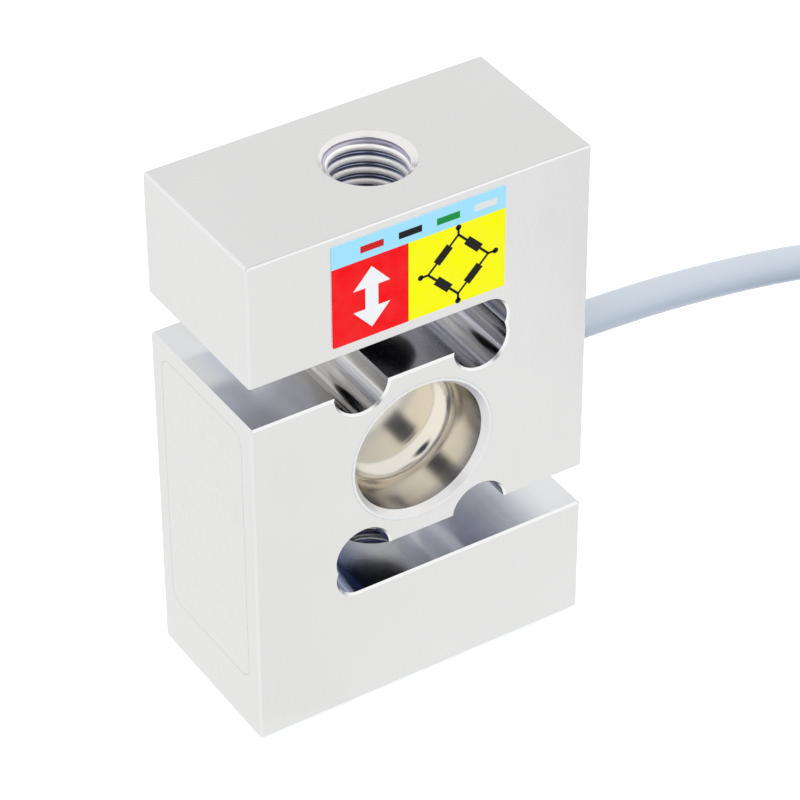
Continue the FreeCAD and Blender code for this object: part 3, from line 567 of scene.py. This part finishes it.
def label_motifs():
    """A double arrow for the load, the sign of a four-arm bridge, and the leads' colours."""
    white_ink = ink("white_ink", grey(0.86), grey(0.92))
    black_ink = ink("black_ink", grey(0.012), grey(0.020))
    x, z = -7.6, 65.5
    reach, head, shaft, barb = 4.6, 3.0, 0.95, 2.7
    arrow = [
        (x, z + reach),
        (x - barb, z + reach - head),
        (x - shaft, z + reach - head),
        (x - shaft, z - reach + head),
        (x - barb, z - reach + head),
        (x, z - reach),
        (x + barb, z - reach + head),
        (x + shaft, z - reach + head),
        (x + shaft, z + reach - head),
        (x + barb, z + reach - head),
    ]
    print_plates("label_load_arrow", [arrow], white_ink)

    centre = Vector((5.2, 65.5))
    reach, line, arm, tail, dot = 4.5, 0.34, 1.25, 1.1, 0.42
    corners = [centre + Vector(d) * reach for d in ((1, 0), (0, 1), (-1, 0), (0, -1))]
    shapes = []
    for k, corner in enumerate(corners):
        after = corners[(k + 1) % 4]
        first, second = corner.lerp(after, 0.28), corner.lerp(after, 0.72)
        shapes.append(bar(corner, first, line))
        shapes.append(bar(first, second, arm))
        shapes.append(bar(second, after, line))
        end = corner + (corner - centre).normalized() * tail
        shapes.append(bar(corner, end, line))
        shapes.append(disc(end, dot))
    print_plates("label_bridge_mark", shapes, black_ink)

    for colour, across in (("red", -9.2), ("black", -3.6), ("green", 2.0), ("white", 7.6)):
        key = bar((across, 73.05), (across + 3.4, 73.05), 1.0)
        print_plates(f"label_key_{colour}", [key], ink(f"{colour}_key_ink", *core_colours[colour]))


label_motifs()


# ---------------------------------------------------------------- cable


# The cable's diameter, and the coil: its centre, its widest turn, its rows and their spacing.
CABLE = 5.0
COIL_CENTRE = (100.0, -35.0)
COIL_RADIUS = 35.0
COIL_ROWS = 6
ROW_PITCH = 5.0
TOP_ROW = 28.3
# In degrees of winding: how long a change of radius or of row takes, where the first one
# starts, where the cable leaves the coil, and the spacing of the control points.
SHIFT, DROP = 120.0, 90.0
FIRST_SHIFT = 240.0
TAIL_ANGLE = 345.0
STEP = 22.5


def eased(share):
    share = min(max(share, 0.0), 1.0)
    return share * share * (3 - 2 * share)


def coil_changes():
    """The winding plan: (start, width, change of radius, change of height) for each change."""
    changes = []
    at = FIRST_SHIFT
    inward = True
    for row in range(COIL_ROWS):
        step = -ROW_PITCH if inward else ROW_PITCH
        changes.append((at, SHIFT, step, 0.0))
        changes.append((at + 360.0, SHIFT, step, 0.0))
        if row < COIL_ROWS - 1:
            drop = at + 720.0 - DROP
            changes.append((drop, DROP, 0.0, -ROW_PITCH))
            at = drop + 360.0 - SHIFT
            inward = not inward
    last = changes[-1][0] + SHIFT
    finish = last + (TAIL_ANGLE - last) % 360.0
    return changes, finish


def coil_points():
    """Control points of the wound turns: the corners of the polygon round each turn."""
    changes, finish = coil_changes()
    points = []

    def corner(turned, half_step):
        radius, height = COIL_RADIUS, TOP_ROW
        for start, width, outward, upward in changes:
            share = eased((turned - start) / width)
            radius += outward * share
            height += upward * share
        radius /= math.cos(math.radians(half_step))
        angle = math.radians(90.0 - turned)
        x = COIL_CENTRE[0] + radius * math.cos(angle)
        y = COIL_CENTRE[1] + radius * math.sin(angle)
        return (x, y, height)

    turned = -STEP / 2
    while turned < finish - STEP / 2:
        points.append(corner(turned, STEP / 2))
        turned += STEP
    last_tangent = turned - STEP / 2
    half = (finish - last_tangent) / 2
    points.append(corner(finish - half, half))
    angle = math.radians(90.0 - finish)
    leaving = Vector(
        (
            COIL_CENTRE[0] + COIL_RADIUS * math.cos(angle),
            COIL_CENTRE[1] + COIL_RADIUS * math.sin(angle),
            TOP_ROW - ROW_PITCH * (COIL_ROWS - 1),
        )
    )
    heading = Vector((math.sin(angle), -math.cos(angle), 0.0))
    points.extend(tuple(leaving + heading * run) for run in (14.0, 30.0))
    return points


def signal_cord():
    route = [(14.4, 0.0, 38.1), (36.5, 0.0, 38.1), (60.0, 0.0, 35.6), (79.0, 0.0, 31.5)]
    route += coil_points()
    curve = bpy.data.curves.new("signal_cord", "CURVE")
    curve.dimensions = "3D"
    spline = curve.splines.new("NURBS")
    spline.points.add(len(route) - 1)
    for point, place in zip(spline.points, route):
        point.co = (*(Vector(place) * MM), 1.0)
    spline.order_u = 3
    spline.use_endpoint_u = True
    spline.use_smooth = True
    spline.resolution_u = 6
    curve.bevel_depth = CABLE / 2 * MM
    curve.bevel_resolution = 6
    curve.use_fill_caps = True
    curve.materials.append(jacket)
    piece = bpy.data.objects.new("signal_cord", curve)
    bpy.context.scene.collection.objects.link(piece)
    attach(piece, "root")
    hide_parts("signal_cable", "cable_coil")
    names = ["coil_tie", "cable_end_sleeve", "gland_screw"]
    names += [f"flying_lead_{colour}" for colour in core_colours]


signal_cord()


# ---------------------------------------------------------------- studio


def floor():
    mesh = bpy.data.meshes.new("studio_floor")
    """A pale floor that the camera sees as white and metal mirrors as white."""
    reach, level = 4.0, -0.0003
    corners = [(-reach, -reach), (reach, -reach), (reach, reach), (-reach, reach)]
    mesh.from_pydata([(x, y, level) for x, y in corners], [], [(0, 1, 2, 3)])
    g = Graph("studio_floor")
    g.set(Base_Color=rgb(0.80, 0.87, 0.95), Roughness=1.0, Specular_IOR_Level=0.0)
    rays = g.node("ShaderNodeLightPath").outputs
    mirrored = g.math("MAXIMUM", rays["Is Glossy Ray"], rays["Is Transmission Ray"])
    white = g.node("ShaderNodeEmission", {"Color": grey(1.0), "Strength": 1.0})
    glow = g.node("ShaderNodeEmission", {"Color": grey(1.0)})
    g.feed(glow.inputs["Strength"], g.math("MULTIPLY", rays["Is Camera Ray"], 0.42))
    seen = g.node("ShaderNodeAddShader")
    g.feed(seen.inputs[0], g.shader.outputs[0])
    g.feed(seen.inputs[1], glow.outputs[0])
    whole = g.node("ShaderNodeMixShader", {"Fac": mirrored})
    g.feed(whole.inputs[1], seen.outputs[0])
    g.feed(whole.inputs[2], white.outputs[0])
    g.feed(g.output.inputs["Surface"], whole.outputs[0])
    mesh.materials.append(g.material)
    piece = bpy.data.objects.new("studio_floor", mesh)
    bpy.context.scene.collection.objects.link(piece)


# Soft zones of the studio that show only in reflections, and are fixed in the room: azimuth
# from -Y towards +X, elevation, the angles from its middle at which each begins and is full,
# and its colour. All other directions are white.
OPENINGS = [
    (147.7, 37.2, 40.0, 8.0, grey(0.90)),
    (0.0, 90.0, 32.0, 21.0, rgb(0.035, 0.040, 0.095)),
    (-32.3, 37.2, 17.0, 9.0, rgb(0.010, 0.014, 0.045)),
]


def direction_of(azimuth, elevation):
    azimuth, elevation = math.radians(azimuth), math.radians(elevation)
    level = math.cos(elevation)
    return (level * math.sin(azimuth), -level * math.cos(azimuth), math.sin(elevation))


def world():
    """White to the camera and through glass, the zones to metal, and an even light to the rest."""
    made = bpy.data.worlds.new("studio")
    bpy.context.scene.world = made
    made.use_nodes = True
    tree = made.node_tree
    background = tree.nodes["Background"]
    rays = tree.nodes.new("ShaderNodeLightPath").outputs
    direction = tree.nodes.new("ShaderNodeTexCoord").outputs["Generated"]

    def link(value, socket):
        if isinstance(value, bpy.types.NodeSocket):
            tree.links.new(value, socket)
        else:
            socket.default_value = value

    def mix(factor, first, second):
        node = tree.nodes.new("ShaderNodeMix")
        node.data_type = "RGBA"
        link(factor, node.inputs["Factor"])
        link(first, node.inputs[6])
        link(second, node.inputs[7])
        return node.outputs[2]

    colour = grey(1.0)
    for azimuth, elevation, outer, inner, shade in OPENINGS:
        dot = tree.nodes.new("ShaderNodeVectorMath")
        dot.operation = "DOT_PRODUCT"
        link(direction, dot.inputs[0])
        link(direction_of(azimuth, elevation), dot.inputs[1])
        near = tree.nodes.new("ShaderNodeMapRange")
        near.interpolation_type = "SMOOTHSTEP"
        link(dot.outputs["Value"], near.inputs["Value"])
        link(math.cos(math.radians(outer)), near.inputs["From Min"])
        link(math.cos(math.radians(inner)), near.inputs["From Max"])
        colour = mix(near.outputs[0], colour, shade)
    lighting = mix(rays["Is Camera Ray"], rgb(0.94, 0.92, 0.92), grey(1.0))
    lighting = mix(rays["Is Transmission Ray"], lighting, grey(1.0))
    link(mix(rays["Is Glossy Ray"], lighting, colour), background.inputs["Color"])
    background.inputs["Strength"].default_value = 1.0


def lamp(name, place, size, energy, target=(0.0, 0.0, 0.04)):
    data = bpy.data.lights.new(name, "AREA")
    data.shape = "RECTANGLE"
    data.size, data.size_y = size
    data.energy = energy
    data.color = (1.0, 0.94, 0.86)
    made = bpy.data.objects.new(name, data)
    made.location = place
    made.rotation_mode = "QUATERNION"
    made.rotation_quaternion = (Vector(place) - Vector(target)).to_track_quat("Z", "Y")
    made.visible_glossy = False
    bpy.context.scene.collection.objects.link(made)


def camera():
    """The photograph's viewpoint, as fitted to the block's corners, slots and rims."""
    data = bpy.data.cameras.new("camera")
    data.sensor_width = 36.0
    data.lens = 166.69
    data.clip_start, data.clip_end = 0.01, 50.0
    roll = math.radians(-0.20)
    back = Vector(direction_of(-32.35, 37.23))
    right = Vector((0, 0, 1)).cross(back).normalized()
    up = back.cross(right)
    right, up = (
        right * math.cos(roll) + up * math.sin(roll),
        up * math.cos(roll) - right * math.sin(roll),
    )
    place = back * 0.5108 + right * 0.00378 + up * 0.03028
    made = bpy.data.objects.new("camera", data)
    turn = Matrix((right, up, back)).transposed().to_4x4()
    made.matrix_world = Matrix.Translation(place) @ turn
    bpy.context.scene.collection.objects.link(made)
    bpy.context.scene.camera = made


floor()
world()
lamp("key_lamp", (-0.05, -0.20, 1.05), (0.6, 0.5), 3.7)
camera()
bpy.context.scene.view_settings.view_transform = "Standard"
